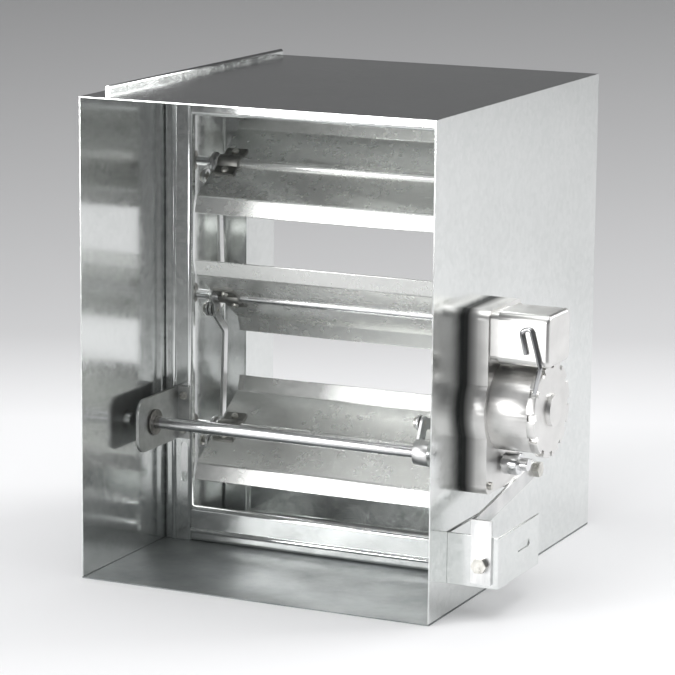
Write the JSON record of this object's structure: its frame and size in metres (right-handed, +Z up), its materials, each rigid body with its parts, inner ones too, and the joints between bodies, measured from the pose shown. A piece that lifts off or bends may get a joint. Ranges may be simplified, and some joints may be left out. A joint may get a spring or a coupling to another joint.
{
  "type": "multi-blade fire damper",
  "caption": "Opposed-blade fire damper in a folded sheet-steel duct sleeve, with tie links, a jackshaft and an actuator on the side wall that turns the blades shut.",
  "frame": {"origin": "middle of the sleeve's base, on the surface that it stands on", "axes": "+Z up, +X to the right towards the actuator, -Y out of the open front, the side that faces the viewer"},
  "size_m": [0.438, 0.406, 0.463],
  "materials": {
    "galvanised_sheet": "hot-dip zinc with spangle, glossy",
    "blade_sheet": "rolled zinc sheet, glossy",
    "plated_rod": "bright plated rod",
    "clamp_steel": "dull dark pressed steel",
    "linkage_steel": "zinc-plated flat bar",
    "fastener_zinc": "zinc-plated",
    "bearing_iron": "sintered, oiled, dull",
    "bracket_steel": "plain rolled plate",
    "cast_aluminium": "die-cast, satin",
    "spring_wire": "bright drawn wire"
  },
  "bodies": {
    "casing": {"sleeve_shell": "galvanised_sheet", "jamb_left": "galvanised_sheet", "jamb_right": "galvanised_sheet", "frame_head": "galvanised_sheet", "frame_sill": "galvanised_sheet", "axle_bushings": "bearing_iron", "shaft_bracket": "bracket_steel", "shaft_bushing_left": "bearing_iron", "shaft_bushing_right": "bearing_iron", "shaft_bracket_screws": "fastener_zinc", "actuator_base": "cast_aluminium", "actuator_screws": "fastener_zinc", "spring_drum": "cast_aluminium", "drum_cap": "cast_aluminium", "motor_cover": "cast_aluminium", "cover_clip": "spring_wire", "lower_bracket": "galvanised_sheet", "bracket_screws": "fastener_zinc", "strap": "linkage_steel", "strap_bolts": "fastener_zinc"},
    "blade_middle": {"blade_middle": "blade_sheet", "axle_middle": "plated_rod", "saddles_middle": "clamp_steel", "rivets_middle": "fastener_zinc", "crank_middle": "linkage_steel", "crank_pin_middle": "fastener_zinc"},
    "blade_lower": {"blade_lower": "blade_sheet", "axle_lower": "plated_rod", "saddles_lower": "clamp_steel", "rivets_lower": "fastener_zinc", "crank_lower": "linkage_steel", "crank_pin_lower": "fastener_zinc", "drive_lug": "linkage_steel", "drive_pin_blade": "fastener_zinc"},
    "blade_upper": {"blade_upper": "blade_sheet", "axle_upper": "plated_rod", "saddles_upper": "clamp_steel", "rivets_upper": "fastener_zinc", "crank_upper": "linkage_steel", "crank_pin_upper": "fastener_zinc"},
    "link_lower": {"link_lower": "linkage_steel"},
    "link_upper": {"link_upper": "linkage_steel"},
    "jackshaft": {"jackshaft": "plated_rod", "drive_crank": "linkage_steel", "drive_pin_shaft": "fastener_zinc", "shaft_clamp": "plated_rod"},
    "drive_link": {"drive_link": "linkage_steel"}
  },
  "joints": [
    {"name": "middle_blade_turn", "type": "hinge", "parent": "casing", "child": "blade_middle", "pos_m": [0, 0.0135, 0.2385], "axis": [-1, 0, 0], "range_deg": [-32, 58]},
    {"name": "lower_blade_turn", "type": "hinge", "parent": "casing", "child": "blade_lower", "pos_m": [0, 0.0135, 0.10597], "axis": [1, 0, 0], "range_deg": [-32, 58]},
    {"name": "upper_blade_turn", "type": "hinge", "parent": "casing", "child": "blade_upper", "pos_m": [0, 0.0135, 0.37103], "axis": [1, 0, 0], "range_deg": [-32, 58]},
    {"name": "lower_link_pivot", "type": "hinge", "parent": "blade_middle", "child": "link_lower", "pos_m": [-0.1525, 0.01687, 0.22388], "axis": [-1, 0, 0], "range_deg": [-71, 39.5]},
    {"name": "upper_link_pivot", "type": "hinge", "parent": "blade_middle", "child": "link_upper", "pos_m": [-0.1567, 0.01687, 0.22388], "axis": [-1, 0, 0], "range_deg": [-47, 26.5]},
    {"name": "jackshaft_turn", "type": "hinge", "parent": "casing", "child": "jackshaft", "pos_m": [0, -0.092, 0.1305], "axis": [1, 0, 0], "range_deg": [-32, 58]},
    {"name": "drive_link_pivot", "type": "hinge", "parent": "blade_lower", "child": "drive_link", "pos_m": [0.1133, 0.02581, 0.13111], "axis": [1, 0, 0], "range_deg": [-58, 32]}
  ],
  "couplings": [
    {"joint": "lower_blade_turn", "follows": "middle_blade_turn", "ratio": 1},
    {"joint": "upper_blade_turn", "follows": "middle_blade_turn", "ratio": 1},
    {"joint": "lower_link_pivot", "follows": "middle_blade_turn", "ratio": -1.208},
    {"joint": "upper_link_pivot", "follows": "middle_blade_turn", "ratio": -0.792},
    {"joint": "jackshaft_turn", "follows": "middle_blade_turn", "ratio": 1},
    {"joint": "drive_link_pivot", "follows": "middle_blade_turn", "ratio": -1}
  ]
}
